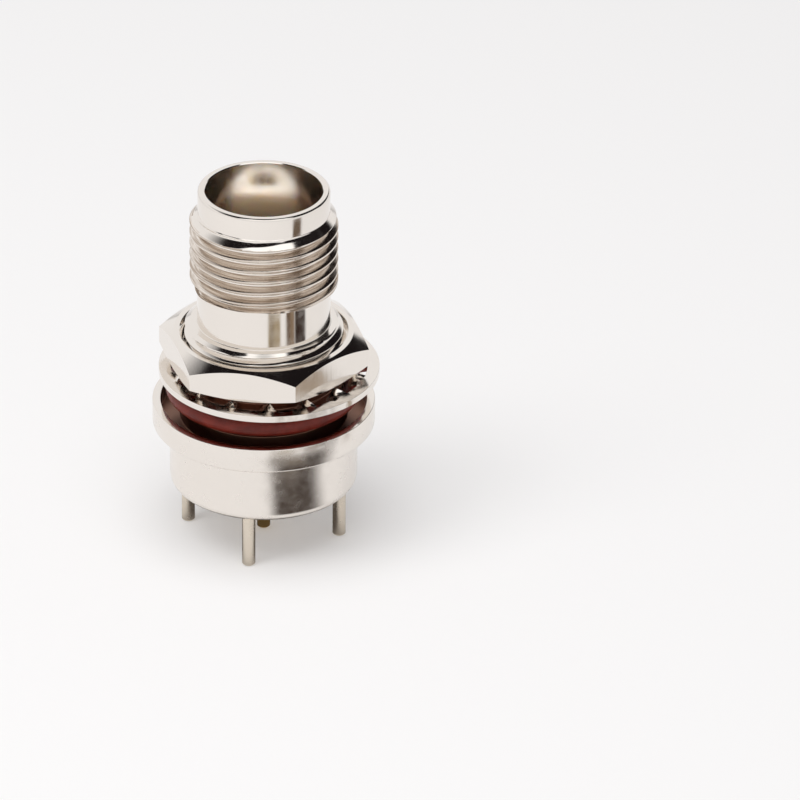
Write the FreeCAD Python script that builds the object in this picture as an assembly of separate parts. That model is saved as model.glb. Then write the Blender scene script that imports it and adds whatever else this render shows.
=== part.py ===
"""Threaded coaxial bulkhead jack with a panel nut, a lock washer, a sealing ring and four board legs.

The frame is in millimetres. +Z runs along the jack's axis towards the face that the plug goes on. The origin is
on that axis, in the plane of the legs' tips, so the jack stands upright on its four legs. The legs are at the
corners of a square whose sides lie along X and Y.

Both outside threads are drawn as plain cylinders at their major diameter, with the chamfers at their ends.
"""

import math
import os

import FreeCAD, Part

Vector = FreeCAD.Vector
ORIGIN = Vector(0, 0, 0)
UP = Vector(0, 0, 1)
SAME = 1e-6  # two lengths this close are the same length
PAST = 1.0  # how far a cutting tool runs past the face that it opens

# Mating end. The coupling thread is 7/16-28, and the sizes inside it follow from it wall by wall.
coupling_radius = 5.556
coupling_length = 5.98
coupling_chamfer = 0.6
coupling_runout = 0.1
thread_height = 0.611  # from the crest in to the pilot
pilot_length = 1.71
pilot_edge = 0.12  # the bevel outside the rim
mouth_wall = 0.5
mouth_edge = 0.055  # the small bevel inside the rim
mouth_bore_length = 5.0  # of the wider bore that starts at the rim
mouth_taper_depth = 0.325  # how much wider it is than the bore behind it
mouth_taper_length = 0.5  # of the cone between the two
reference_depth = 8.38  # from the rim down to the shoulder that the plug's tube bottoms on
shoulder_width = 0.565
shoulder_thickness = 1.2
neck_wall = 0.935
neck_length = 3.25

# Panel thread, M12 x 0.75. The nut has to pass over the coupling thread to reach it.
panel_thread_step = 0.414  # how much larger its radius is than the coupling thread's
panel_thread_length = 6.6
panel_chamfer_width = 0.45
panel_chamfer_height = 0.35
panel_relief_depth = 0.45
panel_relief_width = 0.5

# Flange with the groove for the sealing ring in its front face.
flange_thickness = 2.0
flange_edge = 0.3
flange_rim_width = 0.63
flange_shoulder = 0.7  # the least step from the rear body out to the flange
gland_boss_width = 0.33
gland_depth = 1.25
gland_play = 0.01  # beside the ring, at each wall of the groove

# Rear body and the four board legs.
body_length = 5.0
body_edge = 0.8
leg_radius = 0.5
leg_length = 4.2  # below the body
leg_root_radius = 0.7  # of the thicker root that is pressed into the body
leg_root_length = 2.0
leg_spacing = 8.24  # side of the square that the legs stand on
leg_wall = 0.54  # metal outside a leg's hole
leg_tip_chamfer = 0.12
leg_fit = 0.01

# Insulators. The front one carries a nose round the contact, and the rear one closes the body.
nose_radius = 2.4
nose_reach = 4.8  # past the shoulder, towards the mouth
nose_edge = 0.15  # the bevel round its front
front_insulator_length = 5.0
rear_recess = 0.2
insulator_fit = 0.01

# Centre contact: a slotted socket in front, a collar between the insulators, and a tail behind.
contact_radius = 1.1
contact_setback = 0.05  # behind the front of the nose
contact_edge = 0.2
socket_radius = 0.69
socket_depth = 5.0
socket_slots = 4
slot_width = 0.2
slot_length = 3.6
collar_radius = 1.7
collar_thickness = 0.8
tail_radius = 0.5
tail_root_radius = 0.7  # of the step that fills the hole in the rear insulator's end wall
tail_cover = 1.0  # insulator behind the contact's rear shoulder
tail_short = 0.05  # by which the tail ends before the legs, so that the jack stands on its legs
contact_fit = 0.02

# Sealing ring, gripping the panel thread a little above its groove.
ring_section_radius = 0.715
ring_lift = 0.38
ring_fit = 0.01

# Lock washer with internal teeth, loose on the thread, so it lies a little to one side.
washer_thickness = 0.5
washer_band = 0.9
washer_shift = 0.4
washer_shift_angle = -35.0
tooth_count = 15
tooth_length = 0.97
tooth_root_width = 1.5
tooth_tip_width = 1.2
tooth_twist = 40.0
tooth_pinch = 0.05  # thinner than the band by this on each face, because a tooth stretches as it is twisted
tooth_root_overlap = 0.1
tooth_first_angle = 18.0
tooth_play = 0.06
tooth_to_ring = 0.22
tooth_to_nut = 0.17

# Hexagon nut, chamfered on both faces and countersunk at both ends of its bore.
nut_fit = 0.05
nut_wall = 0.98  # from the bore to a flat
nut_thickness = 2.5
nut_face_inset = 0.25  # by which the round top face is smaller than the flats
nut_top_chamfer = 30.0
nut_bottom_chamfer = 20.0
nut_countersink = 0.33
nut_angle = 13.0

# Radii that follow from the sizes above.
pilot_radius = coupling_radius - thread_height
mouth_radius = pilot_radius - mouth_wall
bore_radius = mouth_radius - mouth_edge - mouth_taper_depth
neck_radius = bore_radius + neck_wall
insulator_bore = bore_radius - shoulder_width
nose_bore = nose_radius + insulator_fit
panel_radius = coupling_radius + panel_thread_step
gland_inner = panel_radius + gland_boss_width
gland_outer = gland_inner + 2 * (ring_section_radius + gland_play)
leg_circle = leg_spacing / math.sqrt(2)
body_radius = leg_circle + leg_root_radius + leg_fit + leg_wall
flange_radius = max(gland_outer + flange_rim_width, body_radius + flange_shoulder)
ring_radius = panel_radius + ring_fit + ring_section_radius
tooth_tip = panel_radius + washer_shift + tooth_play
washer_inner = tooth_tip + tooth_length
washer_outer = washer_inner + washer_band
nut_bore = panel_radius + nut_fit
nut_flat = nut_bore + nut_wall
nut_corner = nut_flat / math.cos(math.radians(30))

# Heights that follow from the sizes above, from the legs' tips up.
z_rear = leg_length
z_flange_back = z_rear + body_length
z_flange_front = z_flange_back + flange_thickness
z_neck = z_flange_front + panel_thread_length
z_coupling = z_neck + neck_length
z_pilot = z_coupling + coupling_length
z_mouth = z_pilot + pilot_length
z_reference = z_mouth - reference_depth
z_shoulder_back = z_reference - shoulder_thickness
z_split = z_shoulder_back - front_insulator_length
z_nose = z_reference + nose_reach
z_contact = z_nose - contact_setback
z_ring = z_flange_front + ring_lift + ring_section_radius
tooth_thickness = washer_thickness - 2 * tooth_pinch
tooth_rise = (
    tooth_tip_width * math.sin(math.radians(tooth_twist))
    + tooth_thickness * math.cos(math.radians(tooth_twist))
) / 2
z_washer = z_ring + ring_section_radius + tooth_to_ring + tooth_rise
z_nut = z_washer + tooth_rise + tooth_to_nut
z_nut_top = z_nut + nut_thickness


def turned(corners):
    """A turned solid from the corners of half its section, each a radius and a height."""
    points = [Vector(radius, 0, height) for radius, height in corners]
    section = Part.Face(Part.makePolygon(points + points[:1]))
    return section.revolve(ORIGIN, UP, 360)


def rounded(shape, fillet, radius, height):
    """The shape with one of its round edges filleted, found by the edge's own radius and height."""
    edges = [
        edge
        for edge in shape.Edges
        if isinstance(edge.Curve, Part.Circle)
        and abs(edge.Curve.Radius - radius) < SAME
        and abs(edge.Curve.Center.z - height) < SAME
    ]
    return shape.makeFillet(fillet, edges)


def leg_places():
    """The legs' places, one at each corner of their square."""
    half = leg_spacing / 2
    return [(half, half), (-half, half), (-half, -half), (half, -half)]


def make_shell():
    """The turned body: rear body, flange, panel thread, neck, coupling thread and mouth in one piece."""
    outside = turned(
        [
            (0, z_rear),
            (body_radius, z_rear),
            (body_radius, z_flange_back),
            (flange_radius, z_flange_back),
            (flange_radius, z_flange_front),
            (panel_radius - panel_relief_depth, z_flange_front),
            (panel_radius - panel_relief_depth, z_flange_front + panel_relief_width - panel_relief_depth / 2),
            (panel_radius, z_flange_front + panel_relief_width),
            (panel_radius, z_neck - panel_chamfer_height),
            (panel_radius - panel_chamfer_width, z_neck),
            (neck_radius, z_neck),
            (neck_radius, z_coupling),
            (coupling_radius, z_coupling + coupling_runout),
            (coupling_radius, z_pilot - coupling_chamfer),
            (pilot_radius, z_pilot),
            (pilot_radius, z_mouth - pilot_edge),
            (pilot_radius - pilot_edge, z_mouth),
            (0, z_mouth),
        ]
    )
    outside = rounded(outside, body_edge, body_radius, z_rear)
    outside = rounded(outside, flange_edge, flange_radius, z_flange_back)
    inside = turned(
        [
            (0, z_rear - PAST),
            (insulator_bore, z_rear - PAST),
            (insulator_bore, z_shoulder_back),
            (nose_bore, z_shoulder_back),
            (nose_bore, z_reference),
            (bore_radius, z_reference),
            (bore_radius, z_mouth - mouth_bore_length - mouth_taper_length),
            (mouth_radius - mouth_edge, z_mouth - mouth_bore_length),
            (mouth_radius - mouth_edge, z_mouth - mouth_edge),
            (mouth_radius, z_mouth),
            (mouth_radius, z_mouth + PAST),
            (0, z_mouth + PAST),
        ]
    )
    gland = turned(
        [
            (gland_inner, z_flange_front - gland_depth),
            (gland_outer, z_flange_front - gland_depth),
            (gland_outer, z_flange_front + PAST),
            (gland_inner, z_flange_front + PAST),
        ]
    )
    hole = Part.makeCylinder(leg_root_radius + leg_fit, leg_root_length + PAST, Vector(0, 0, z_rear - PAST))
    holes = [hole.translated(Vector(x, y, 0)) for x, y in leg_places()]
    return outside.cut([inside, gland] + holes)


def make_leg(x, y):
    """One board leg, a straight pin with a thicker root that is pressed up into its hole in the rear body."""
    top = z_rear + leg_root_length
    pin = turned(
        [
            (0, 0),
            (leg_radius - leg_tip_chamfer, 0),
            (leg_radius, leg_tip_chamfer),
            (leg_radius, z_rear),
            (leg_root_radius, z_rear),
            (leg_root_radius, top),
            (0, top),
        ]
    )
    return pin.translated(Vector(x, y, 0))


def make_front_insulator():
    """The front insulator: a body behind the shoulder, and a nose through it round the contact."""
    radius = insulator_bore - insulator_fit
    return turned(
        [
            (contact_radius + contact_fit, z_split),
            (radius, z_split),
            (radius, z_shoulder_back),
            (nose_radius, z_shoulder_back),
            (nose_radius, z_nose - nose_edge),
            (nose_radius - nose_edge, z_nose),
            (contact_radius + contact_fit, z_nose),
        ]
    )


def make_rear_insulator():
    """The rear insulator: a counterbore for the contact's collar, and an end wall that the tail goes through."""
    radius = insulator_bore - insulator_fit
    shank_bore = contact_radius + contact_fit
    collar_floor = z_split - collar_thickness
    end_wall = z_rear + rear_recess + tail_cover
    return turned(
        [
            (tail_root_radius + contact_fit, z_rear + rear_recess),
            (radius, z_rear + rear_recess),
            (radius, z_split),
            (collar_radius + contact_fit, z_split),
            (collar_radius + contact_fit, collar_floor),
            (shank_bore, collar_floor),
            (shank_bore, end_wall),
            (tail_root_radius + contact_fit, end_wall),
        ]
    )


def make_contact():
    """The centre contact, with its socket split by slots so that its fingers spring on the plug's pin."""
    end_wall = z_rear + rear_recess + tail_cover
    rod = turned(
        [
            (0, tail_short),
            (tail_radius - leg_tip_chamfer, tail_short),
            (tail_radius, tail_short + leg_tip_chamfer),
            (tail_radius, z_rear + rear_recess),
            (tail_root_radius, z_rear + rear_recess),
            (tail_root_radius, end_wall),
            (contact_radius, end_wall),
            (contact_radius, z_split - collar_thickness),
            (collar_radius, z_split - collar_thickness),
            (collar_radius, z_split),
            (contact_radius, z_split),
            (contact_radius, z_contact - contact_edge),
            (contact_radius - contact_edge, z_contact),
            (0, z_contact),
        ]
    )
    bore = Part.makeCylinder(socket_radius, socket_depth + PAST, Vector(0, 0, z_contact - socket_depth))
    slot = Part.makeBox(
        contact_radius + PAST,
        slot_width,
        slot_length + PAST,
        Vector(0, -slot_width / 2, z_contact - slot_length),
    )
    slots = [slot.rotated(ORIGIN, UP, 45 + 360 * index / socket_slots) for index in range(socket_slots)]
    return rod.cut([bore] + slots)


def make_sealing_ring():
    """The sealing ring, stretched over the panel thread."""
    return Part.makeTorus(ring_radius, ring_section_radius, Vector(0, 0, z_ring), UP)


def tooth_section(radius, width, twist):
    """The section of a washer tooth at one distance from the washer's centre, turned about the tooth's length."""
    half_width = width / 2
    half_thickness = tooth_thickness / 2
    corners = [
        Vector(radius, -half_width, -half_thickness),
        Vector(radius, half_width, -half_thickness),
        Vector(radius, half_width, half_thickness),
        Vector(radius, -half_width, half_thickness),
    ]
    return Part.makePolygon(corners + corners[:1]).rotated(ORIGIN, Vector(1, 0, 0), twist)


def make_lock_washer():
    """The lock washer: a flat band, and teeth on its inside that each twist out of its plane."""
    half_thickness = washer_thickness / 2
    band = turned(
        [
            (washer_inner, -half_thickness),
            (washer_outer, -half_thickness),
            (washer_outer, half_thickness),
            (washer_inner, half_thickness),
        ]
    )
    root = tooth_section(washer_inner + tooth_root_overlap, tooth_root_width, 0)
    tip = tooth_section(tooth_tip, tooth_tip_width, tooth_twist)
    tooth = Part.makeLoft([root, tip], True, True)
    step = 360 / tooth_count
    teeth = [tooth.rotated(ORIGIN, UP, tooth_first_angle + step * index) for index in range(tooth_count)]
    washer = band.fuse(teeth).removeSplitter()
    sideways = math.radians(washer_shift_angle)
    place = Vector(washer_shift * math.cos(sideways), washer_shift * math.sin(sideways), z_washer)
    return washer.translated(place)


def make_nut():
    """The hexagon nut: a prism, its corners turned off at both faces, with a countersunk bore."""
    corners = [
        Vector(
            nut_corner * math.cos(math.radians(nut_angle + 60 * index)),
            nut_corner * math.sin(math.radians(nut_angle + 60 * index)),
            z_nut,
        )
        for index in range(6)
    ]
    prism = Part.Face(Part.makePolygon(corners + corners[:1])).extrude(Vector(0, 0, nut_thickness))
    top_face = nut_flat - nut_face_inset
    top_drop = (nut_corner - top_face) * math.tan(math.radians(nut_top_chamfer))
    bottom_drop = (nut_corner - nut_flat) * math.tan(math.radians(nut_bottom_chamfer))
    blank = turned(
        [
            (0, z_nut),
            (nut_flat, z_nut),
            (nut_corner, z_nut + bottom_drop),
            (nut_corner, z_nut_top - top_drop),
            (top_face, z_nut_top),
            (0, z_nut_top),
        ]
    )
    bore = turned(
        [
            (0, z_nut),
            (nut_bore + nut_countersink, z_nut),
            (nut_bore, z_nut + nut_countersink),
            (nut_bore, z_nut_top - nut_countersink),
            (nut_bore + nut_countersink, z_nut_top),
            (0, z_nut_top),
        ]
    )
    return prism.common(blank).cut(bore)


pieces = {
    "shell": make_shell(),
    "front_insulator": make_front_insulator(),
    "rear_insulator": make_rear_insulator(),
    "centre_contact": make_contact(),
    "o_ring": make_sealing_ring(),
    "lock_washer": make_lock_washer(),
    "hex_nut": make_nut(),
}
for number, (leg_x, leg_y) in enumerate(leg_places(), 1):
    pieces[f"board_leg_{number}"] = make_leg(leg_x, leg_y)

os.makedirs("parts", exist_ok=True)
for name, shape in pieces.items():
    shape.exportStep(f"parts/{name}.step")
    box = shape.BoundBox
    print(f"{name}: {len(shape.Solids)} solid, {shape.Volume:.2f} mm3, z {box.ZMin:.2f} to {box.ZMax:.2f}")
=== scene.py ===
# %% [markdown]
# A threaded coaxial jack, dressed for a product picture. The part comes in as a fixed frame of plain solids
# at their real size. This script gives each of them the form and the finish that the real one has: cut
# threads, a chamfered nut, a stamped washer with twisted teeth, a rubber ring, and nickel that was turned,
# milled or sand blasted before it was plated.

# %% Load the frame
import math

import bmesh
import bpy
import numpy as np
from mathutils import Matrix, Vector


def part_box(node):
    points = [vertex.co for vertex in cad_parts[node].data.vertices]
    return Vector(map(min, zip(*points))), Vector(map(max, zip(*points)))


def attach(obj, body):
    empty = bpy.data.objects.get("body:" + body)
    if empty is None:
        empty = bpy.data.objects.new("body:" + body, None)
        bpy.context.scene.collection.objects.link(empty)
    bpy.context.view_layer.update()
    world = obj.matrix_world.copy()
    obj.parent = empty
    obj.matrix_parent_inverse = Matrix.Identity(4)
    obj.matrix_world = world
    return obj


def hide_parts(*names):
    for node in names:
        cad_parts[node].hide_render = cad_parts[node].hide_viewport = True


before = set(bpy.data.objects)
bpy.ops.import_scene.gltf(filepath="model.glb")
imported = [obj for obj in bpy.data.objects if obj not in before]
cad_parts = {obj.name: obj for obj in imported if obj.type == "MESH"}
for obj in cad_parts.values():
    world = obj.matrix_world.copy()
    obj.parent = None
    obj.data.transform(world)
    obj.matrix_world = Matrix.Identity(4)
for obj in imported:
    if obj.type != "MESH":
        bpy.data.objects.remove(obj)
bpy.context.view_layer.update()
MM = 0.001  # one millimetre in Blender's metres
print("nodes:", ", ".join(sorted(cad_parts)))

# %% [markdown]
# The frame already says where each piece is and how large. Reading the heights from it, instead of typing
# them again, keeps the dressed pieces where the solids are. Only sizes inside a piece, such as a wall or a
# chamfer, are written here, in millimetres.

# %% Read the heights and radii that the frame gives
def frame_box(node):
    """Lowest and highest corner of a solid, in millimetres."""
    low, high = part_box(node)
    return np.array(low) / MM, np.array(high) / MM


shell_low, shell_high = frame_box("shell")
ring_low, ring_high = frame_box("o_ring")
washer_low, washer_high = frame_box("lock_washer")
nut_low, nut_high = frame_box("hex_nut")

z_rear = shell_low[2]
z_mouth = shell_high[2]
flange_radius = shell_high[0]
print(f"rear face at {z_rear:.2f} mm, mouth at {z_mouth:.2f} mm, flange radius {flange_radius:.2f} mm")

# %% [markdown]
# The camera comes first, because it decides how much detail shows. The picture was taken with a long lens
# from about 28 degrees above the bench, so the jack looks almost parallel: a lens of 369 mm on a 36 mm
# sensor, some 60 cm away, repeats that.

# %% Camera
view_azimuth = math.radians(-35)
view_elevation = math.radians(28.7)
view_roll = math.radians(0.58)
view_distance = 608.8  # mm from the mouth, along the line of sight
view_right = 10.1  # mm by which the camera looks past the mouth, to its right
view_down = 15.64  # and below it
lens_length = 369

back = Vector(
    (
        math.sin(view_azimuth) * math.cos(view_elevation),
        -math.cos(view_azimuth) * math.cos(view_elevation),
        math.sin(view_elevation),
    )
)
level = Vector((math.cos(view_azimuth), math.sin(view_azimuth), 0))
plumb = back.cross(level)
right = level * math.cos(view_roll) + plumb * math.sin(view_roll)
up = plumb * math.cos(view_roll) - level * math.sin(view_roll)


def add_object(name, data):
    """A new object in the scene that holds a camera, a lamp or a mesh."""
    thing = bpy.data.objects.new(name, data)
    bpy.context.scene.collection.objects.link(thing)
    return thing


camera_data = bpy.data.cameras.new("camera")
camera_data.lens = lens_length
camera_data.sensor_width = 36
camera_data.clip_start = 0.01
camera_data.clip_end = 10
camera = add_object("camera", camera_data)
place = Vector((0, 0, z_mouth)) + right * view_right - up * view_down + back * view_distance
camera.matrix_world = Matrix.Translation(place * MM) @ Matrix((right, up, back)).transposed().to_4x4()
bpy.context.scene.camera = camera
print("camera at", [round(value) for value in place], "mm")

# %% [markdown]
# Nearly every piece was made on a lathe, so the main tool here is one that turns a section round the jack's
# axis. A real turned edge is never quite sharp: it is broken by a few hundredths of a millimetre, and that
# little round is what catches the light. So a corner of a section may carry a third number, the radius it
# is rounded to.

# %% Helper: round the corners of a section
def rounded(corners, steps=4):
    """Points of a section. A corner with a third number becomes an arc of that radius."""
    points = []
    for index, corner in enumerate(corners):
        here = np.array(corner[:2], float)
        if len(corner) < 3:
            points.append(here)
            continue
        before = np.array(corners[index - 1][:2]) - here
        after = np.array(corners[(index + 1) % len(corners)][:2]) - here
        before /= np.linalg.norm(before)
        after /= np.linalg.norm(after)
        half_angle = math.acos(before @ after) / 2
        inward = (before + after) / np.linalg.norm(before + after)
        centre = here + inward * corner[2] / math.sin(half_angle)
        start = here + before * corner[2] / math.tan(half_angle) - centre
        end = here + after * corner[2] / math.tan(half_angle) - centre
        sweep = math.pi - 2 * half_angle
        for step in range(steps + 1):
            share = step / steps
            swung = start * math.sin((1 - share) * sweep) + end * math.sin(share * sweep)
            points.append(centre + swung / math.sin(sweep))
    return np.array(points)


# %% [markdown]
# A lathe could be made with the Screw modifier, but a thread then needs a second mesh that crosses the
# first. Here the rows of the mesh are built directly: each row is a ring of points, and in a thread the
# rings climb by one pitch in a turn. The last column of a climbing row meets the first column of a higher
# one, and a weld closes it.

# %% Helper: turn rows of points into a solid
weld_distance = 0.0002  # mm


def finish_mesh(name, vertices, faces, sharp_angle=35):
    """An object from points in millimetres, welded, with its normals outside and its flat faces flat."""
    mesh = bpy.data.meshes.new(name)
    mesh.from_pydata((np.asarray(vertices) * MM).tolist(), [], faces)
    form = bmesh.new()
    form.from_mesh(mesh)
    bmesh.ops.remove_doubles(form, verts=form.verts, dist=weld_distance * MM)
    bmesh.ops.dissolve_degenerate(form, edges=form.edges, dist=weld_distance * MM)
    bmesh.ops.recalc_face_normals(form, faces=form.faces)
    form.to_mesh(mesh)
    form.free()
    mesh.shade_smooth()
    mesh.set_sharp_from_angle(angle=math.radians(sharp_angle))
    return add_object(name, mesh)


def turned(name, rows, angles, closed=True):
    """A solid of revolution. Each row is one ring: a radius and a height for every angle."""
    rings = np.array([np.broadcast_to(row, (len(angles), 2)) for row in rows])
    x = rings[:, :, 0] * np.cos(angles)
    y = rings[:, :, 0] * np.sin(angles)
    vertices = np.stack([x, y, rings[:, :, 1]], axis=-1).reshape(-1, 3)
    count = len(angles)
    faces = []
    for row in range(len(rows) if closed else len(rows) - 1):
        low = row * count
        high = (row + 1) % len(rows) * count
        faces += [(low + k, low + k + 1, high + k + 1, high + k) for k in range(count - 1)]
    return finish_mesh(name, vertices, faces)


def full_turn(columns, first=0.0):
    """The angles of the columns, with the last one on the first again."""
    return first + np.linspace(0, 2 * math.pi, columns + 1)


# %% [markdown]
# A thread of this kind has flanks at 60 degrees to each other, a narrow flat on its crest and another at
# its root. The coupling thread has 28 turns to the inch and the panel thread a pitch of 0.75 mm. Both climb
# to the right. At its ends a thread fades where the tool ran out, which comes for free when the rows never
# leave the plain outline: the smaller of the two radii is the metal that is left.

# %% Helper: rows of a thread
crest_share = 0.14  # of the pitch, flat on the crest
root_share = 0.14  # of the pitch, flat at the root
edge_round = 0.04
flank_angle = math.radians(30)
row_distance = 0.2  # mm between two rows of a thread, at most


def thread_depth(pitch):
    """How deep the flanks go before they reach the flat at the root."""
    return pitch * (1 - crest_share - root_share) / 2 / math.tan(flank_angle)


def divided(points, longest):
    """The same line of points, with more of them on every stretch that is longer than a limit."""
    line = [points[0]]
    for start, end in zip(points, points[1:]):
        pieces = math.ceil(np.linalg.norm(end - start) / longest)
        line += [start + (end - start) * step / pieces for step in range(1, pieces + 1)]
    return line


def thread_rows(crest, pitch, outline, angles, crest_height=0.0, inside=False):
    """Rows of a right-hand thread between the ends of a plain outline, each a height and a radius.

    The crest passes bearing zero at the crest height, and again one pitch above it and below it.
    """
    heights = [height for height, radius in outline]
    radii = [radius for height, radius in outline]
    depth = thread_depth(pitch)
    first = math.floor((heights[0] - crest_height) / pitch) - 1
    last = math.ceil((heights[-1] - crest_height) / pitch) + 1
    corners = []
    for turn in range(first, last):
        middle = crest_height + turn * pitch
        corners += [
            (crest, middle - pitch * crest_share / 2, edge_round),
            (crest, middle + pitch * crest_share / 2, edge_round),
            (crest - depth, middle + pitch * (1 - root_share) / 2, edge_round),
            (crest - depth, middle + pitch * (1 + root_share) / 2, edge_round),
        ]
    rows = []
    for radius, height in divided(rounded(corners, steps=2), row_distance):
        climbed = np.clip(height + pitch * angles / (2 * math.pi), heights[0], heights[-1])
        plain = np.interp(climbed, heights, radii)
        kept = np.maximum(radius, plain) if inside else np.minimum(radius, plain)
        ends = (climbed <= heights[0]) | (climbed >= heights[-1])
        rows.append(np.stack([np.where(ends, plain, kept), climbed], axis=-1))
    return rows


# %% [markdown]
# The shell is one turned bar: mouth, coupling thread, neck, panel thread, flange with its groove, and rear
# body. One mesh holds all of it, so no seam shows between thread and plain metal. The outer edges of the
# flange and the rear body are well rounded, as on the real one, and the rest is only broken.

# %% Sizes of the shell
coupling_radius = 5.556
coupling_pitch = 25.4 / 28
coupling_start = 65  # bearing at which the middle of its groove meets the neck, in degrees
coupling_length = 5.98
coupling_chamfer = 0.6
coupling_runout = 0.1
pilot_radius = 4.945
pilot_length = 1.71
pilot_edge = 0.2
mouth_radius = 4.445
mouth_edge = 0.055
bore_radius = 4.065
mouth_bore_radius = 4.39
mouth_bore_length = 5.0
mouth_taper_length = 0.5
mouth_taper_round = 0.2
reference_depth = 8.38
shoulder_thickness = 1.2
nose_bore = 2.41
insulator_bore = 3.5
neck_radius = 5.0
neck_length = 3.25
panel_radius = 5.97
panel_pitch = 0.75
panel_thread_length = 6.6
panel_chamfer_width = 0.45
panel_chamfer_height = 0.35
panel_relief_depth = 0.45
panel_relief_width = 0.5
flange_thickness = 2.0
flange_edge = 0.3
gland_inner = 6.3
gland_outer = 7.75
gland_depth = 1.25
body_radius = 7.077
body_edge = 0.8
broken_edge = 0.06  # of every edge that was only deburred

z_pilot = z_mouth - pilot_length
z_coupling = z_pilot - coupling_length
z_neck = z_coupling - neck_length
z_flange = z_neck - panel_thread_length
z_flange_back = z_flange - flange_thickness
z_reference = z_mouth - reference_depth
z_shoulder_back = z_reference - shoulder_thickness
print(f"coupling thread from {z_coupling:.2f} to {z_pilot:.2f} mm, panel thread down to {z_flange:.2f} mm")

# %% Turn the shell
shell_angles = full_turn(192)
coupling_crest = z_coupling + coupling_pitch * (0.5 - coupling_start / 360)
panel_outline = [
    (z_flange + panel_relief_width - panel_relief_depth / 2, panel_radius - panel_relief_depth),
    (z_flange + panel_relief_width, panel_radius),
    (z_neck - panel_chamfer_height, panel_radius),
    (z_neck, panel_radius - panel_chamfer_width),
]
coupling_outline = [
    (z_coupling, neck_radius),
    (z_coupling + coupling_runout, coupling_radius),
    (z_pilot - coupling_chamfer, coupling_radius),
    (z_pilot, pilot_radius),
]
rear_section = rounded(
    [
        (insulator_bore, z_rear, broken_edge),
        (body_radius, z_rear, body_edge),
        (body_radius, z_flange_back, broken_edge),
        (flange_radius, z_flange_back, flange_edge),
        (flange_radius, z_flange, broken_edge),
        (gland_outer, z_flange, broken_edge),
        (gland_outer, z_flange - gland_depth, broken_edge),
        (gland_inner, z_flange - gland_depth, broken_edge),
        (gland_inner, z_flange, broken_edge),
        (panel_radius - panel_relief_depth, z_flange, broken_edge),
        (panel_radius - panel_relief_depth, panel_outline[0][0]),
        (insulator_bore, panel_outline[0][0]),
    ]
)[:-1]
neck_section = rounded(
    [
        (panel_radius - panel_chamfer_width, z_neck),
        (neck_radius, z_neck, broken_edge),
        (neck_radius, z_coupling),
    ]
)
mouth_section = rounded(
    [
        (pilot_radius, z_pilot),
        (pilot_radius, z_mouth, pilot_edge),
        (mouth_radius, z_mouth),
        (mouth_bore_radius, z_mouth - mouth_edge),
        (mouth_bore_radius, z_mouth - mouth_bore_length, mouth_taper_round),
        (bore_radius, z_mouth - mouth_bore_length - mouth_taper_length, mouth_taper_round),
        (bore_radius, z_reference, broken_edge),
        (nose_bore, z_reference, broken_edge),
        (nose_bore, z_shoulder_back),
        (insulator_bore, z_shoulder_back),
    ]
)
shell_rows = (
    list(rear_section)
    + thread_rows(panel_radius, panel_pitch, panel_outline, shell_angles)
    + list(neck_section)
    + thread_rows(coupling_radius, coupling_pitch, coupling_outline, shell_angles, coupling_crest)
    + list(mouth_section)
)
shell = turned("turned_shell", shell_rows, shell_angles)
print("shell:", len(shell.data.polygons), "faces")

# %% [markdown]
# The four legs are pressed into holes in the rear face. A boolean cuts the holes, because the legs stand at
# the corners of a square and a lathe can only make rings. It is applied at once, so the mesh that is left
# is plain.

# %% Cut the holes for the legs
leg_radius = 0.5
leg_root_radius = 0.7
leg_root_length = 2.0
leg_fit = 0.01
leg_tip_chamfer = 0.12
leg_names = [f"board_leg_{number}" for number in (1, 2, 3, 4)]
leg_places = [sum(frame_box(name))[:2] / 2 for name in leg_names]


def move_mesh(piece, x, y):
    """Moves the points of a piece and leaves its origin on the axis."""
    piece.data.transform(Matrix.Translation(Vector((x, y, 0)) * MM))


def subtract(piece, tools):
    """Cuts the tools from a piece and deletes them."""
    for tool in tools:
        cut = piece.modifiers.new("cut", "BOOLEAN")
        cut.operation = "DIFFERENCE"
        cut.solver = "EXACT"
        cut.object = tool
    graph = bpy.context.evaluated_depsgraph_get()
    mesh = bpy.data.meshes.new_from_object(piece.evaluated_get(graph))
    piece.modifiers.clear()
    piece.data = mesh
    for tool in tools:
        bpy.data.objects.remove(tool)


hole_radius = leg_root_radius + leg_fit
hole_section = [
    (0, z_rear - leg_root_length),
    (hole_radius, z_rear - leg_root_length),
    (hole_radius, z_rear + leg_root_length),
    (0, z_rear + leg_root_length),
]
hole_tools = []
for x, y in leg_places:
    tool = turned("hole_tool", hole_section, full_turn(32), closed=False)
    move_mesh(tool, x, y)
    hole_tools.append(tool)
subtract(shell, hole_tools)

# The last groove runs out level with the wall above it. A sharp line there keeps the wall's mirror straight.
same_height = 0.001  # mm
for edge in shell.data.edges:
    if all(abs(shell.data.vertices[end].co.z / MM - z_pilot) < same_height for end in edge.vertices):
        edge.use_edge_sharp = True
print("shell after the holes:", len(shell.data.polygons), "faces")

# %% [markdown]
# The legs are straight wire with a chamfered tip, thicker where they sit in the body. Four copies of one
# cylinder would do, but a turned section has the chamfer and the root in it already, and each leg is a mesh
# of its own.

# %% Board legs
wire_edge = 0.05
root_edge = 0.03
root_shows = 0.02  # how far the thicker root stands out of the body
leg_section = rounded(
    [
        (0, 0),
        (leg_radius - leg_tip_chamfer, 0, wire_edge),
        (leg_radius, leg_tip_chamfer, wire_edge),
        (leg_radius, z_rear - root_shows, wire_edge),
        (leg_root_radius, z_rear - root_shows, root_edge),
        (leg_root_radius, z_rear + leg_root_length),
        (0, z_rear + leg_root_length),
    ]
)
legs = []
for name, (x, y) in zip(leg_names, leg_places):
    leg = turned(name + "_wire", leg_section, full_turn(48), closed=False)
    move_mesh(leg, x, y)
    legs.append(leg)
print("legs:", [leg.name for leg in legs])

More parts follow.
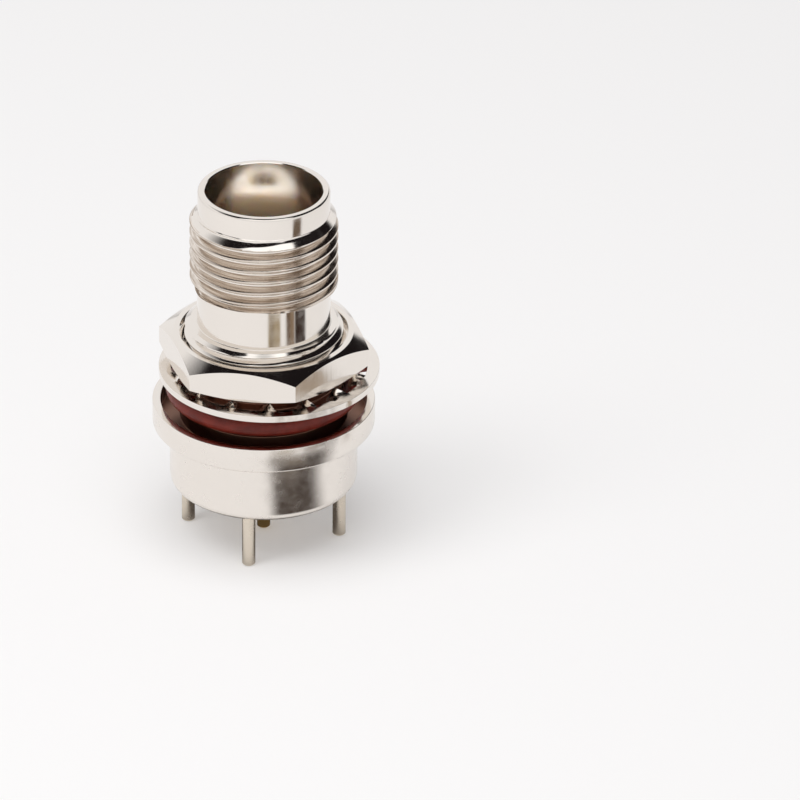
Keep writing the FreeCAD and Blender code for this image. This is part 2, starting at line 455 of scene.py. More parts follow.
# %% [markdown]
# Two PTFE insulators hold the contact. The front one ends in the nose that stands in the mouth, and the
# rear one closes the body between the legs. They are turned from rod on the real jack, and here from closed
# sections, whose inner corners leave the room for the contact.

# %% Insulators
insulator_fit = 0.01
insulator_edge = 0.05
nose_edge = 0.15
closing_edge = 0.08
contact_radius = 1.1
contact_fit = 0.02
collar_radius = 1.7
collar_thickness = 0.8
tail_cover = 1.0
tail_root_radius = 0.7
nose_radius = nose_bore - insulator_fit
insulator_radius = insulator_bore - insulator_fit
contact_hole = contact_radius + contact_fit
collar_hole = collar_radius + contact_fit
tail_hole = tail_root_radius + contact_fit
z_split, z_nose = (corner[2] for corner in frame_box("front_insulator"))
z_back = frame_box("rear_insulator")[0][2]

front_insulator = turned(
    "nose_insulator",
    rounded(
        [
            (contact_hole, z_split),
            (insulator_radius, z_split, insulator_edge),
            (insulator_radius, z_shoulder_back, insulator_edge),
            (nose_radius, z_shoulder_back),
            (nose_radius, z_nose, nose_edge),
            (contact_hole, z_nose, insulator_edge),
        ]
    ),
    full_turn(128),
)
rear_insulator = turned(
    "closing_insulator",
    rounded(
        [
            (tail_hole, z_back, insulator_edge),
            (insulator_radius, z_back, closing_edge),
            (insulator_radius, z_split),
            (collar_hole, z_split),
            (collar_hole, z_split - collar_thickness),
            (contact_hole, z_split - collar_thickness),
            (contact_hole, z_back + tail_cover),
            (tail_hole, z_back + tail_cover),
        ]
    ),
    full_turn(128),
)
print(f"insulators from {z_back:.2f} to {z_nose:.2f} mm")

# %% [markdown]
# The centre contact is a gold-plated rod. Its front end is drilled and slotted in four, so that the fingers
# spring on the plug's pin, and its tail is what gets soldered to the board. The drilled hole is part of the
# turned section, and two crossed plates cut the slots, as a saw does on the real one.

# %% Centre contact
z_tail, z_contact = (corner[2] for corner in frame_box("centre_contact"))
tail_radius = 0.5
collar_edge = 0.04
finger_edge = 0.2
socket_radius = 0.69
socket_depth = 5.0
socket_lead = 0.1  # chamfer at the socket's mouth, so that a pin finds its way in
slot_width = 0.2
slot_length = 3.6

contact = turned(
    "gold_contact",
    rounded(
        [
            (0, z_tail),
            (tail_radius - leg_tip_chamfer, z_tail, wire_edge),
            (tail_radius, z_tail + leg_tip_chamfer, wire_edge),
            (tail_radius, z_back),
            (tail_root_radius, z_back, collar_edge),
            (tail_root_radius, z_back + tail_cover),
            (contact_radius, z_back + tail_cover),
            (contact_radius, z_split - collar_thickness),
            (collar_radius, z_split - collar_thickness),
            (collar_radius, z_split),
            (contact_radius, z_split),
            (contact_radius, z_contact, finger_edge),
            (socket_radius + socket_lead, z_contact),
            (socket_radius, z_contact - socket_lead),
            (socket_radius, z_contact - socket_depth),
            (0, z_contact - socket_depth),
        ]
    ),
    full_turn(96),
    closed=False,
)
slot_size = Vector((4 * contact_radius, slot_width, 2 * slot_length)) * MM
slot_tools = []
for bearing in (45, 135):
    bpy.ops.mesh.primitive_cube_add(size=1)
    slot_tool = bpy.context.object
    slot_tool.data.transform(
        Matrix.Rotation(math.radians(bearing), 4, "Z")
        @ Matrix.Translation(Vector((0, 0, z_contact)) * MM)
        @ Matrix.Diagonal(slot_size.to_4d())
    )
    slot_tools.append(slot_tool)
subtract(contact, slot_tools)
print("contact:", len(contact.data.polygons), "faces")

# %% [markdown]
# The nut is a hexagon bar that was faced, chamfered on both sides and tapped. Where the cone of the chamfer
# meets the six flats it leaves the curved edges that every nut has. Working out that curve column by column
# keeps the faces clean: at each angle the flat is a known distance from the axis, and the cone gives the
# height there.

# %% Sizes of the nut
nut_angle = math.radians(13)
nut_flat = 7.0
nut_face_radius = 6.75
nut_foot_width = 0.1  # of the small step at its lower face
nut_foot_height = 0.04
nut_top_slope = math.tan(math.radians(30))
nut_bottom_slope = math.tan(math.radians(20))
nut_countersink = 0.33
nut_bore = panel_radius + 0.05
z_nut = nut_low[2]
z_nut_top = nut_high[2]
print(f"nut from {z_nut:.2f} to {z_nut_top:.2f} mm, {2 * nut_flat:.0f} mm across its flats")

# %% Build the nut
nut_angles = full_turn(288, nut_angle)
from_flat = (nut_angles - nut_angle) % math.radians(60) - math.radians(30)
hexagon = nut_flat / np.cos(from_flat)
top_edge = z_nut_top - (hexagon - nut_face_radius) * nut_top_slope
bottom_edge = z_nut + (hexagon - nut_flat) * nut_bottom_slope + nut_foot_height
countersink_depth = nut_countersink + thread_depth(panel_pitch)
countersink_radius = nut_bore + nut_countersink
nut_outline = [
    (z_nut, countersink_radius),
    (z_nut + countersink_depth, countersink_radius - countersink_depth),
    (z_nut_top - countersink_depth, countersink_radius - countersink_depth),
    (z_nut_top, countersink_radius),
]
nut_rows = thread_rows(nut_bore, panel_pitch, nut_outline, nut_angles, inside=True) + [
    np.array([nut_face_radius, z_nut_top]),
    np.stack([hexagon, top_edge], axis=-1),
    np.stack([hexagon, bottom_edge], axis=-1),
    np.array([nut_flat - nut_foot_width, z_nut]),
]
nut = turned("chamfered_nut", nut_rows, nut_angles)


def break_edges(piece, width, angle, steps=2):
    """Rounds the edges of a piece that are sharper than an angle, and keeps its flats flat."""
    bevel = piece.modifiers.new("broken edges", "BEVEL")
    bevel.width = width * MM
    bevel.segments = steps
    bevel.limit_method = "ANGLE"
    bevel.angle_limit = math.radians(angle)
    bevel.harden_normals = True


break_edges(nut, broken_edge, angle=28)
print("nut:", len(nut.data.polygons), "faces")

# %% [markdown]
# The lock washer was stamped from spring sheet, and its fifteen inner teeth were twisted in the same
# stroke. It is drawn as a single sheet, a ring of faces with fifteen strips on its inside, and a Solidify
# modifier gives it the sheet's thickness. That is also how the real one comes about, and the edges stay
# even all round.

# %% Lock washer
washer_centre = (washer_low + washer_high) / 2
washer_edge = 0.11
washer_outer = (washer_high[0] - washer_low[0]) / 2
washer_band = 0.9
washer_inner = washer_outer - washer_band
washer_thickness = 0.5
tooth_count = 15
tooth_length = 0.97
tooth_tip_width = 1.2
tooth_twist = math.radians(40)
tooth_twist_rate = 1.5  # the twist is complete at 1 / 1.5 of the length
tooth_twist_ease = 1.3  # and this power lets it set in gently
tooth_corner_start = 0.75  # share of the length at which the tip begins to narrow
tooth_corner_cut = 0.16
tooth_first_angle = math.radians(18)
tooth_columns = 10
gap_columns = 8
tooth_rows = 9


def washer_sheet():
    """Middle surface of the washer: a flat ring, then one twisted strip for each tooth."""
    pitch_columns = tooth_columns + gap_columns
    total = tooth_count * pitch_columns
    step = 2 * math.pi / total
    start = tooth_first_angle - step * tooth_columns / 2
    angles = start + step * np.arange(total)
    vertices = []
    for radius in (washer_outer, washer_outer - washer_band / 2, washer_inner):
        vertices += [(radius * math.cos(a), radius * math.sin(a), 0) for a in angles]
    faces = []
    for outer, inner in ((0, total), (total, 2 * total)):
        for k in range(total):
            after = (k + 1) % total
            faces.append((outer + k, outer + after, inner + after, inner + k))
    root_half = washer_inner * math.sin(step * tooth_columns / 2)
    for tooth in range(tooth_count):
        middle = tooth_first_angle + 2 * math.pi * tooth / tooth_count
        along = np.array([math.cos(middle), math.sin(middle), 0])
        across = np.array([-math.sin(middle), math.cos(middle), 0])
        above = [2 * total + tooth * pitch_columns + k for k in range(tooth_columns + 1)]
        for row in range(1, tooth_rows + 1):
            share = row / tooth_rows
            fillet = (1 - share) ** 3
            corner = max(0.0, share - tooth_corner_start) / (1 - tooth_corner_start)
            half_width = tooth_tip_width / 2 * (1 - tooth_corner_cut * corner**2)
            half_width += (root_half - tooth_tip_width / 2) * fillet
            twist = tooth_twist * min(1.0, share * tooth_twist_rate) ** tooth_twist_ease
            here = []
            for k in range(tooth_columns + 1):
                side = 2 * k / tooth_columns - 1
                out = washer_inner - tooth_length * share
                out += (washer_inner * math.cos(root_half * side / washer_inner) - washer_inner) * fillet
                point = along * out + across * half_width * side * math.cos(twist)
                point[2] = half_width * side * math.sin(twist)
                here.append(len(vertices))
                vertices.append(tuple(point))
            for k in range(tooth_columns):
                faces.append((above[k], above[k + 1], here[k + 1], here[k]))
            above = here
    return np.array(vertices) + washer_centre, faces


washer = finish_mesh("toothed_washer", *washer_sheet())
sheet = washer.modifiers.new("sheet", "SOLIDIFY")
sheet.thickness = washer_thickness * MM
sheet.offset = 0
sheet.use_even_offset = True
break_edges(washer, washer_edge, angle=40, steps=3)
print("washer:", tooth_count, "teeth, centre", [round(value, 2) for value in washer_centre])

# %% [markdown]
# The sealing ring is moulded silicone rubber of round section. A torus would do for its form, but a mould
# of two halves leaves a faint parting line round its outside, so the circle is drawn as a section with a
# ridge of 15 microns.

# %% Sealing ring
ring_section = (ring_high[2] - ring_low[2]) / 2
ring_radius = ring_high[0] - ring_section
z_ring = (ring_high[2] + ring_low[2]) / 2
parting_height = 0.015
parting_width = 0.05
ring_rows = []
for turn_angle in full_turn(96)[:-1]:
    off_line = math.sin(turn_angle) * ring_section
    ridge = parting_height * math.exp(-((off_line / parting_width) ** 2)) if math.cos(turn_angle) > 0 else 0
    reach = ring_section - parting_height + ridge
    ring_rows.append((ring_radius + reach * math.cos(turn_angle), z_ring + off_line))
sealing_ring = turned("rubber_ring", ring_rows, full_turn(256))
print(f"sealing ring: {2 * ring_section:.2f} mm thick")

# %% [markdown]
# A broken edge is a strip of narrow faces next to a wide one, and smooth shading would bend the wide face's
# reflections towards them. Weighted normals let the wider of two faces decide at the line where they meet.
# Then each new piece takes the place of its solid: it rides on the same body, so the nut and the washer
# move when the nut is turned.

# %% Hand the pieces to the frame
dressed = [
    (shell, "shell", "jack", "nickel_plate"),
    (front_insulator, "front_insulator", "jack", "ptfe"),
    (rear_insulator, "rear_insulator", "jack", "ptfe"),
    (contact, "centre_contact", "jack", "gold_plate"),
    (sealing_ring, "o_ring", "jack", "silicone_rubber"),
    (washer, "lock_washer", "washer", "nickel_plate_washer"),
    (nut, "hex_nut", "nut", "nickel_plate_nut"),
] + [(leg, name, "jack", "nickel_plate_leg") for leg, name in zip(legs, leg_names)]
for piece in [shell, front_insulator, rear_insulator, contact] + legs:
    flatter = piece.modifiers.new("true normals", "WEIGHTED_NORMAL")
    flatter.keep_sharp = True
    flatter.weight = 100  # the strongest; 50 is neutral
for piece, node, body, slot in dressed:
    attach(piece, body)
    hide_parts(node)
print("dressed:", len(dressed), "pieces")

# %% [markdown]
# Materials start from the real ones. Colours are given as sRGB hex values, the way a colour picker shows
# them, and one function turns them into the linear values that the shaders need. Another one adds a node:
# it fills a socket with a number or, when it is handed another socket, links it. A socket knows its own tree
# as id_data, so the helpers that follow need no more than a socket or the shader.

# %% Helpers: colour and nodes
def linear(hex_colour):
    """sRGB hex to linear RGBA."""
    channels = [int(hex_colour[start : start + 2], 16) / 255 for start in (1, 3, 5)]
    return [c / 12.92 if c <= 0.04045 else ((c + 0.055) / 1.055) ** 2.4 for c in channels] + [1.0]


def add_node(tree, kind, settings, inputs):
    """Adds a node with its settings, and fills or links its inputs."""
    node = tree.nodes.new(kind)
    for name, value in settings.items():
        setattr(node, name, value)
    for socket, value in inputs.items():
        if isinstance(value, bpy.types.NodeSocket):
            tree.links.new(value, node.inputs[socket])
        else:
            node.inputs[socket].default_value = value
    return node


def new_material(name, colour, metallic, roughness):
    """A material with plain values, its shader, and the place on the object."""
    material = bpy.data.materials.new(name)
    material.use_nodes = True
    shader = material.node_tree.nodes["Principled BSDF"]
    shader.inputs["Base Color"].default_value = linear(colour)
    shader.inputs["Metallic"].default_value = metallic
    shader.inputs["Roughness"].default_value = roughness
    place = add_node(material.node_tree, "ShaderNodeTexCoord", {}, {}).outputs["Object"]
    return material, shader, place


# %% [markdown]
# Bright nickel plate is a little warmer than chrome, and it keeps the marks of what was done to the brass
# under it. On turned faces those are fine rings, so the pattern is stretched round the axis: it only
# depends on the distance from the axis and on the height. Real feed marks are some 20 microns apart. That
# is too fine to show here, so they are drawn at 60. The thread was cut in several passes and its flanks are
# torn a little, so they are duller and carry streaks.

# %% Helpers: patterns, and what they do to a finish
feed_mark = 0.06  # mm between turning marks
mark_drift = (0.04, 0.03, 0)  # how much slower a mark changes along its way than across it


def grain_pattern(place, size):
    """An even noise with grains of a given size in millimetres."""
    inputs = {"Vector": place, "Scale": 1 / (2 * size * MM), "Detail": 2, "Roughness": 0.6}
    return add_node(place.id_data, "ShaderNodeTexNoise", {}, inputs).outputs["Fac"]


def ring_pattern(place, size):
    """A noise that runs round the axis. Its marks have a size in millimetres and fade along their way."""
    tree = place.id_data
    level = {0: place, 1: (1, 1, 0)}
    flat = add_node(tree, "ShaderNodeVectorMath", {"operation": "MULTIPLY"}, level).outputs[0]
    distance = add_node(tree, "ShaderNodeVectorMath", {"operation": "LENGTH"}, {0: flat}).outputs["Value"]
    along = add_node(tree, "ShaderNodeVectorMath", {"operation": "DOT_PRODUCT"}, {0: flat, 1: mark_drift})
    height = add_node(tree, "ShaderNodeSeparateXYZ", {}, {0: place}).outputs["Z"]
    inputs = {"X": distance, "Y": height, "Z": along.outputs["Value"]}
    return grain_pattern(add_node(tree, "ShaderNodeCombineXYZ", {}, inputs).outputs[0], size)


def stretched(pattern, low, high):
    """The middle of a noise, where nearly all its values lie, stretched from one value to another."""
    inputs = {"Value": pattern, "From Min": 0.35, "From Max": 0.65, "To Min": low, "To Max": high}
    return add_node(pattern.id_data, "ShaderNodeMapRange", {}, inputs).outputs[0]


def blended(share, first, second):
    """The colour that lies a share of the way from one hex value to another."""
    inputs = {"Factor": share, 6: linear(first), 7: linear(second)}  # 6 and 7 are the node's two colours
    return add_node(share.id_data, "ShaderNodeMix", {"data_type": "RGBA"}, inputs).outputs[2]


def roughen(shader, pattern, low, high):
    """Lets the roughness wander between two values with a pattern."""
    shader.id_data.links.new(stretched(pattern, low, high), shader.inputs["Roughness"])


def tint(shader, pattern, dark, light):
    """Lets the colour wander between two hex values with a pattern."""
    shade = blended(stretched(pattern, 0, 1), dark, light)
    shader.id_data.links.new(shade, shader.inputs["Base Color"])


def emboss(shader, pattern, height):
    """Bump from a pattern whose full range stands for a height in millimetres."""
    bump = add_node(shader.id_data, "ShaderNodeBump", {}, {"Height": pattern, "Distance": height * MM})
    shader.id_data.links.new(bump.outputs[0], shader.inputs["Normal"])


# %% Nickel on turned faces
nickel_colour = "#ECE6DF"
nickel_turned, shader, place = new_material("turned_nickel_plate", nickel_colour, 1.0, 0.12)
roughen(shader, grain_pattern(place, size=0.8), low=0.07, high=0.15)
emboss(shader, ring_pattern(place, feed_mark), height=0.0015)

nickel_threaded, shader, place = new_material("threaded_nickel_plate", "#CFC3B7", 1.0, 0.2)
tint(shader, ring_pattern(place, feed_mark), "#B5A697", "#F0E8DF")
roughen(shader, grain_pattern(place, size=0.8), low=0.14, high=0.24)
emboss(shader, ring_pattern(place, feed_mark), height=0.004)
print("materials:", nickel_turned.name, nickel_threaded.name)

# %% [markdown]
# The flange and the rear body look softer than the thread: they were blasted or barrel finished before
# plating, so they have a fine sandy grain instead of rings, and a wider gloss.

# %% Nickel on the satin faces
blast_grain = 0.07  # mm, the size of one dimple

nickel_satin, shader, place = new_material("satin_nickel_plate", nickel_colour, 1.0, 0.24)
roughen(shader, grain_pattern(place, size=0.5), low=0.18, high=0.28)
emboss(shader, grain_pattern(place, blast_grain), height=0.001)
print("material:", nickel_satin.name)

# %% [markdown]
# The bore was only drilled and reamed, so its mirror is softer. The foot of the panel thread and the groove
# below it lie in shade, under the washer and down in the groove. There the plate is dull, and that shade is
# painted into it as brown, which clears up towards the neck.

# %% Nickel in the bore and at the foot of the thread
nickel_bored, shader, place = new_material("bored_nickel_plate", "#DCCFC2", 1.0, 0.2)
roughen(shader, grain_pattern(place, size=0.8), low=0.16, high=0.24)
emboss(shader, ring_pattern(place, feed_mark), height=0.001)

# Painted shade: the plate is painted brown up to the first height, and has no painted shade from the second
# one on.
z_full_shade = z_nut - 0.8  # up to here the plate is brown
z_no_shade = z_nut_top - 0.6  # and from here on it is clean
nickel_dull_with_painted_shade, shader, place = new_material("dull_nickel_plate_painted_shade", nickel_colour, 1.0, 0.3)
tree = nickel_dull_with_painted_shade.node_tree
height = add_node(tree, "ShaderNodeSeparateXYZ", {}, {0: place}).outputs["Z"]
foot = {"Value": height, "From Min": z_full_shade * MM, "From Max": z_no_shade * MM}
clear = add_node(tree, "ShaderNodeMapRange", {"interpolation_type": "SMOOTHSTEP"}, foot).outputs[0]
tree.links.new(blended(clear, "#8A6656", nickel_colour), shader.inputs["Base Color"])
gloss = add_node(tree, "ShaderNodeMapRange", {}, {"Value": clear, "To Min": 0.32, "To Max": 0.1})
tree.links.new(gloss.outputs[0], shader.inputs["Roughness"])
emboss(shader, ring_pattern(place, feed_mark), height=0.0015)
print("materials:", nickel_bored.name, nickel_dull_with_painted_shade.name)

# %% [markdown]
# One bar has all these finishes, each on its own zone. They could be masked inside one material, but nearly
# every zone ends at an edge of the mesh, so each face is simply given the material of its zone.

# %% Give each zone of the shell its finish
hair = 0.01  # mm, to stay clear of the line between two zones
shell_finishes = [nickel_turned, nickel_satin, nickel_bored, nickel_dull_with_painted_shade, nickel_threaded]
shell.data.materials.clear()
for finish in shell_finishes:
    shell.data.materials.append(finish)


def shell_finish(radius, height):
    """The finish of a face of the shell, from its distance from the axis and its height."""
    if height > z_reference - hair and radius < mouth_bore_radius + hair:
        return nickel_bored
    if height < z_flange_back or (height < z_flange - hair and radius > gland_outer + hair):
        return nickel_satin
    # the foot of the panel thread and the groove, whose plate carries the painted shade
    if height < z_neck - panel_chamfer_height and radius < gland_outer + 2 * hair:
        return nickel_dull_with_painted_shade
    if z_coupling < height < z_pilot - coupling_chamfer and radius > neck_radius + 2 * hair:
        return nickel_threaded
    return nickel_turned


for face in shell.data.polygons:
    radius = math.hypot(face.center.x, face.center.y) / MM
    face.material_index = shell_finishes.index(shell_finish(radius, face.center.z / MM))
print("finishes on the shell:", [finish.name for finish in shell_finishes])

# %% [markdown]
# The nut's flats come from drawn hexagon bar, whose marks run along the bar, so here the pattern is
# stretched upright. The washer was stamped from sheet and tumbled, which leaves soft ripples. The legs are
# drawn wire.

# %% Nickel on the nut, the washer and the legs
drawing_mark = 0.12  # mm between the marks along the bar
upright_stretch = 0.04  # how much slower the marks change along the bar than across it

nickel_nut, shader, place = new_material("milled_nickel_plate", nickel_colour, 1.0, 0.1)
stretch = {0: place, 1: (1, 1, upright_stretch)}
upright = add_node(place.id_data, "ShaderNodeVectorMath", {"operation": "MULTIPLY"}, stretch).outputs[0]
roughen(shader, grain_pattern(place, size=0.8), low=0.06, high=0.13)
emboss(shader, grain_pattern(upright, drawing_mark), height=0.0015)

nickel_washer, shader, place = new_material("tumbled_nickel_plate", nickel_colour, 1.0, 0.14)
roughen(shader, grain_pattern(place, size=0.6), low=0.1, high=0.2)
emboss(shader, grain_pattern(place, size=0.25), height=0.006)

nickel_leg, shader, place = new_material("drawn_nickel_plate", "#DDD3C4", 1.0, 0.2)
roughen(shader, grain_pattern(place, size=0.3), low=0.16, high=0.28)
emboss(shader, grain_pattern(place, size=0.15), height=0.004)

nut.data.materials.append(nickel_nut)
washer.data.materials.append(nickel_washer)
for leg in legs:
    leg.data.materials.append(nickel_leg)
print("materials:", nickel_nut.name, nickel_washer.name, nickel_leg.name)

# %% [markdown]
# Gold over nickel is a thin, pale yellow flash. PTFE is white, a little waxy, and lets light in for a
# fraction of a millimetre, which softens its edges. Silicone rubber coloured with iron oxide is a dull
# red-brown with a broad sheen, because its skin is smooth but not polished.

# %% Gold, PTFE and rubber
gold, shader, place = new_material("gold_flash", "#E3C382", 1.0, 0.18)
roughen(shader, grain_pattern(place, size=0.3), low=0.12, high=0.24)
emboss(shader, ring_pattern(place, feed_mark), height=0.001)

ptfe, shader, place = new_material("machined_ptfe", "#F5EFE7", 0.0, 0.45)
shader.inputs["IOR"].default_value = 1.38
shader.inputs["Subsurface Weight"].default_value = 0.9
shader.inputs["Subsurface Radius"].default_value = (2.4 * MM, 1.8 * MM, 1.3 * MM)
shader.inputs["Subsurface Scale"].default_value = 1.0
roughen(shader, grain_pattern(place, size=0.4), low=0.4, high=0.55)
emboss(shader, ring_pattern(place, size=0.05), height=0.003)

rubber, shader, place = new_material("red_silicone_rubber", "#6E2115", 0.0, 0.4)
shader.inputs["IOR"].default_value = 1.41
tint(shader, grain_pattern(place, size=0.6), "#641D12", "#7C281B")
roughen(shader, grain_pattern(place, size=0.35), low=0.34, high=0.48)
emboss(shader, grain_pattern(place, size=0.12), height=0.004)

contact.data.materials.clear()
contact.data.materials.append(gold)
for piece in (front_insulator, rear_insulator):
    piece.data.materials.append(ptfe)
sealing_ring.data.materials.append(rubber)
print("materials:", gold.name, ptfe.name, rubber.name)

# %% [markdown]
# The stage is a plain white bench in soft light. A polished metal has hardly a look of its own: it shows
# what stands round it. So the white bench makes the walls bright, and dark flags, which a photographer sets
# up for this, give the metal its dark stripes. The flags are seen only in reflections. They cast no shadow
# and take no light away from the rubber or the floor.

# %% Floor
bench_colour = "#F8F7F7"
bench_glow = 0.2
bench_size = 6  # m, so that its end is never seen


def bare_material(name):
    """A material with an empty node tree."""
    material = bpy.data.materials.new(name)
    material.use_nodes = True
    material.node_tree.nodes.clear()
    return material, material.node_tree


def seen_directly(tree):
    """One for rays from the camera, a mirror or glass, and zero for the light that falls on things."""
    path = add_node(tree, "ShaderNodeLightPath", {}, {})
    seen = path.outputs["Is Camera Ray"]
    for ray in ("Is Glossy Ray", "Is Transmission Ray"):
        either = {0: seen, 1: path.outputs[ray]}
        seen = add_node(tree, "ShaderNodeMath", {"operation": "MAXIMUM"}, either).outputs[0]
    return seen


def stage_material(name, colour, glow):
    """A plain surface. The glow is the share of its colour that camera and mirrors see without any light."""
    material, tree = bare_material(name)
    share = add_node(tree, "ShaderNodeMath", {"operation": "MULTIPLY"}, {0: seen_directly(tree), 1: glow})
    lit = add_node(tree, "ShaderNodeBsdfDiffuse", {}, {"Color": linear(colour)})
    own = add_node(tree, "ShaderNodeEmission", {}, {"Color": linear(colour), "Strength": 1.0})
    parts = {0: share.outputs[0], 1: lit.outputs[0], 2: own.outputs[0]}
    mixed = add_node(tree, "ShaderNodeMixShader", {}, parts)
    add_node(tree, "ShaderNodeOutputMaterial", {}, {"Surface": mixed.outputs[0]})
    return material


bpy.ops.mesh.primitive_plane_add(size=bench_size)
floor = bpy.context.object
floor.name = "bench"
floor.data.materials.append(stage_material("bench_paper", bench_colour, bench_glow))
print("floor:", floor.name, bench_colour)

# %% Helper: a flag that only reflections see
def only_reflected(piece):
    """Leaves a piece of the stage to reflections alone."""
    piece.visible_camera = False
    piece.visible_diffuse = False
    piece.visible_shadow = False
    piece.visible_transmission = False


def direction(azimuth, elevation):
    """Unit vector for a bearing from the camera's side, to the right, and an elevation, both in degrees."""
    bearing = view_azimuth - math.pi / 2 + math.radians(azimuth)
    rise = math.radians(elevation)
    return Vector((math.cos(bearing) * math.cos(rise), math.sin(bearing) * math.cos(rise), math.sin(rise)))


# %% [markdown]
# A flag with a hard edge gives a hard stripe, and on the real jack most stripes fade out. So the flags are
# sheets whose paint is written on their corners, as a colour attribute: its alpha is how much the paint
# covers, and where it is clear the bench or the room shows through. A ray that has met rubber or plastic on
# its way passes through the paint, so the flags only shade the metal.

# %% Helpers: paint with soft edges
def window(value, low, high, soft):
    """One between low and high, and zero outside. Each edge is spread over a width."""
    inside = np.clip((value - low) / soft + 0.5, 0, 1) * np.clip((high - value) / soft + 0.5, 0, 1)
    return inside * inside * (3 - 2 * inside)


def paint_material(name, mottle):
    """Paint that glows in its own colour. The mottle is the share by which its brightness wanders."""
    material, tree = bare_material(name)
    material.cycles.emission_sampling = "NONE"
    paint = add_node(tree, "ShaderNodeAttribute", {"attribute_name": "paint"}, {})
    place = add_node(tree, "ShaderNodeTexCoord", {}, {}).outputs["Object"]
    spots = grain_pattern(place, size=1.2)
    wander = {"Value": spots, "From Min": 0.3, "From Max": 0.7, "To Min": 1 - mottle, "To Max": 1 + mottle}
    level = add_node(tree, "ShaderNodeMapRange", {}, wander).outputs[0]
    glow = add_node(tree, "ShaderNodeEmission", {}, {"Color": paint.outputs["Color"], "Strength": level})
    depth = add_node(tree, "ShaderNodeLightPath", {}, {}).outputs["Diffuse Depth"]
    mirrored = add_node(tree, "ShaderNodeMath", {"operation": "LESS_THAN"}, {0: depth, 1: 0.5}).outputs[0]
    covering = {0: paint.outputs["Alpha"], 1: mirrored}
    cover = add_node(tree, "ShaderNodeMath", {"operation": "MULTIPLY"}, covering).outputs[0]
    clear = add_node(tree, "ShaderNodeBsdfTransparent", {}, {}).outputs[0]
    mixed = add_node(tree, "ShaderNodeMixShader", {}, {0: cover, 1: clear, 2: glow.outputs[0]})
    add_node(tree, "ShaderNodeOutputMaterial", {}, {"Surface": mixed.outputs[0]})
    return material


least_cover = 0.001  # so that a bare corner isn't divided by zero


def painted_sheet(name, corners, coats, material):
    """A sheet for reflections alone. Each coat is a colour, its brightness and its cover at every corner."""
    rows, columns = corners.shape[:2]
    colour = np.zeros((rows, columns, 3))
    cover = np.zeros((rows, columns, 1))
    for shade, bright, share in coats:
        share = np.broadcast_to(share, (rows, columns))[:, :, None]
        colour = colour * (1 - share) + np.array(linear(shade)[:3]) * bright * share
        cover = cover * (1 - share) + share
    paint = np.concatenate([colour / np.maximum(cover, least_cover), cover], axis=-1)
    mesh = bpy.data.meshes.new(name)
    starts = [row * columns + k for row in range(rows - 1) for k in range(columns - 1)]
    faces = [(here, here + 1, here + columns + 1, here + columns) for here in starts]
    mesh.from_pydata((corners.reshape(-1, 3) * MM).tolist(), [], faces)
    mesh.color_attributes.new("paint", "FLOAT_COLOR", "POINT").data.foreach_set("color", paint.ravel())
    mesh.materials.append(material)
    sheet = add_object(name, mesh)
    only_reflected(sheet)
    print(name + ":", len(faces), "faces, covered", round(float(cover.mean()), 2))


# %% [markdown]
# The dome is what faces that lean upwards mirror. Overhead and at both sides it is black, which gives the
# chamfers of the nut and of the thread their dark ends, and a softbox in front gives them a white middle.
# A coat is written with its bearing and its height above the bench, both in degrees.

# %% Dome with flags and softbox
black = "#1C1819"
white = "#FFFFFF"
softbox_glow = 1.3
dome_radius = 500  # mm
across, upward = np.meshgrid(np.arange(-180, 181, 3.0), np.arange(-2.5, 91, 1.5))
dome = np.array([[direction(a, e) * dome_radius for a, e in zip(*row)] for row in zip(across, upward)])
dome_coats = [
    (black, 1, window(across, -165, -75, 40) * window(upward, 51, 200, 24)),
    (black, 1, window(upward, 58, 200, 6)),
    (black, 1, window(across, 55, 162, 8) * window(upward, 33, 62, 6)),
    (black, 1, window(across, 108, 162, 8) * window(upward, 20, 62, 6)),
    (black, 1, window(across, -96, -49, 6) * window(upward, 41, 62, 4)),
    (white, softbox_glow, window(across, -49, 64, 6) * window(upward, 48, 76, 3)),
    (black, 1, window(across, -2, 20, 4) * window(upward, 59.5, 61.5, 1.5)),
]
painted_sheet("dome", dome, dome_coats, paint_material("dome_paint", mottle=0.0))

# %% [markdown]
# Upright walls mirror the bench in front of the jack. A wall that stands higher sees a part of it that lies
# further out, so each ring of paint round the jack's foot shades one piece: first the rear body, then the
# flange, the nut, the neck, the thread, and last the plain wall of the mouth. A coat is written with its
# sector round the jack, in degrees, and its reach from the axis, in millimetres.

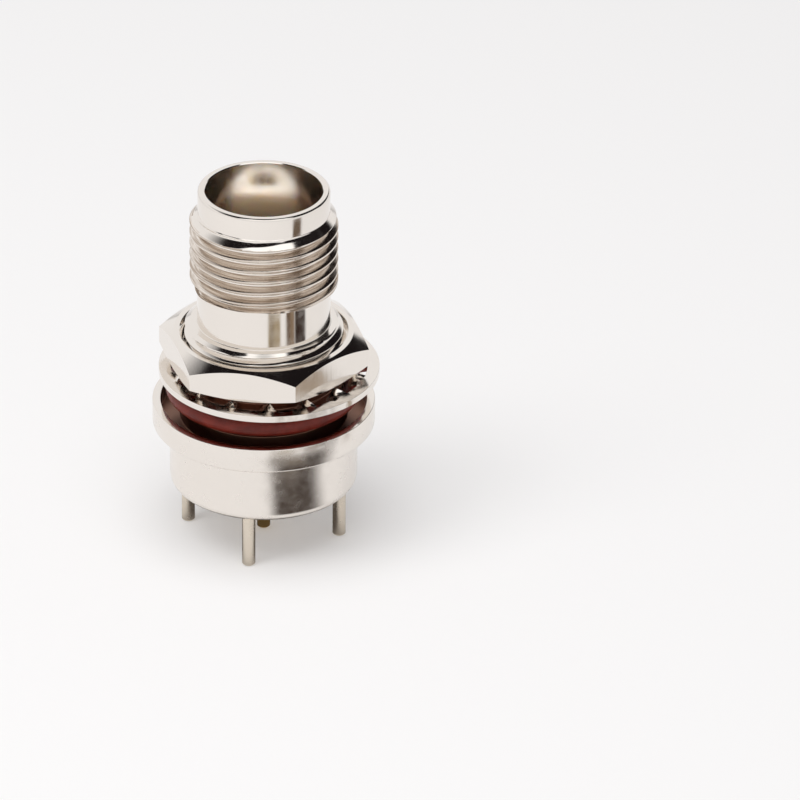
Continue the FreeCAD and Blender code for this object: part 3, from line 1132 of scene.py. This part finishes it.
# %% Paint on the bench
sector, reach = np.meshgrid(np.arange(-180, 181, 1.5), np.arange(0, 96, 0.75))
above_bench = Vector((0, 0, 0.15))
bench = np.array([[direction(a, 0) * r + above_bench for a, r in zip(*row)] for row in zip(sector, reach)])
bench_coats = [
    # The first coat is painted shadow under the body, for the legs and the contact's tail to mirror. The
    # others paint the dark stripes that the walls mirror.
    ("#3A302A", 1, 0.85 * window(reach, -20, 6, 3)),
    ("#453B35", 1, window(sector, 10, 200, 12) * window(sector, -200, 58, 24) * window(reach, 11.5, 22, 3)),
    ("#574A3E", 1, window(sector, 6, 200, 10) * window(sector, -200, 62, 20) * window(reach, 22, 30, 2)),
    ("#7C7268", 1, window(sector, 21, 38, 5) * window(reach, 22, 30, 2)),
    ("#2A1F18", 1, window(sector, 38, 55, 6) * window(reach, 22, 30, 2)),
    ("#A89A8B", 1, window(sector, 80, 86, 2) * window(reach, 28, 35, 1)),
    ("#A8997F", 1, window(sector, 8, 28, 2) * window(reach, 35, 45, 2)),
    ("#8A7A62", 1, window(sector, 11, 17, 3) * window(reach, 35, 45, 2)),
    ("#6B5848", 1, window(sector, 38, 46, 2) * window(reach, 35, 45, 2)),
    ("#8C7762", 1, window(sector, 45, 52, 2) * window(reach, 35, 45, 2)),
    ("#2A170E", 1, window(sector, 53, 73, 3) * window(reach, 35, 45, 2)),
    ("#7A6858", 1, window(sector, 36, 58, 5) * window(reach, 45, 53, 2)),
    ("#6E5E50", 1, window(sector, 50, 65, 3) * window(reach, 53.5, 100, 2)),
]
painted_sheet("bench_paint", bench, bench_coats, paint_material("bench_paint", mottle=0.25))

# %% [markdown]
# The room is one even white. It is at full strength where the camera or a mirror sees it, and at less than
# half for the light that it gives, so that the lamps still draw a shadow. Large discs stand in for the
# softboxes of a studio, because their shadows are soft. Mirrors don't see them: the dome already has the
# softbox that the metal shows.

# %% World
room_light = 0.42
world = bpy.data.worlds.new("studio")
bpy.context.scene.world = world
world.use_nodes = True
tree = world.node_tree
tree.nodes.clear()
strength = add_node(
    tree, "ShaderNodeMapRange", {}, {"Value": seen_directly(tree), "To Min": room_light, "To Max": 1.0}
)
room = {"Color": linear(bench_colour), "Strength": strength.outputs[0]}
backdrop = add_node(tree, "ShaderNodeBackground", {}, room)
add_node(tree, "ShaderNodeOutputWorld", {}, {"Surface": backdrop.outputs[0]})
print("world:", world.name)

# %% Lamps
lamp_distance = 500  # mm
lamps = [("overhead", -20, 76, 0.5, 1.6), ("side", -60, 50, 0.25, 0.4)]  # degrees, metres and watts
for name, bearing, rise, size, energy in lamps:
    lamp_data = bpy.data.lights.new(name, "AREA")
    lamp_data.shape = "DISK"
    lamp_data.size = size
    lamp_data.energy = energy
    lamp = add_object(name, lamp_data)
    lamp.location = direction(bearing, rise) * lamp_distance * MM
    lamp.rotation_euler = (-lamp.location).to_track_quat("-Z", "Y").to_euler()
    lamp.visible_glossy = False

# A narrow spot looks straight down into the mouth. Only the white insulator shows it.
snoot_data = bpy.data.lights.new("snoot", "SPOT")
snoot_data.energy = 10.0
snoot_data.spot_size = math.radians(1.2)
snoot_data.spot_blend = 0.4
snoot_data.shadow_soft_size = 1 * MM
snoot = add_object("snoot", snoot_data)
snoot.location = Vector((0, 0, lamp_distance)) * MM
snoot.visible_glossy = False

bpy.context.scene.view_settings.view_transform = "Standard"
print("lamps:", [row[0] for row in lamps] + [snoot.name])
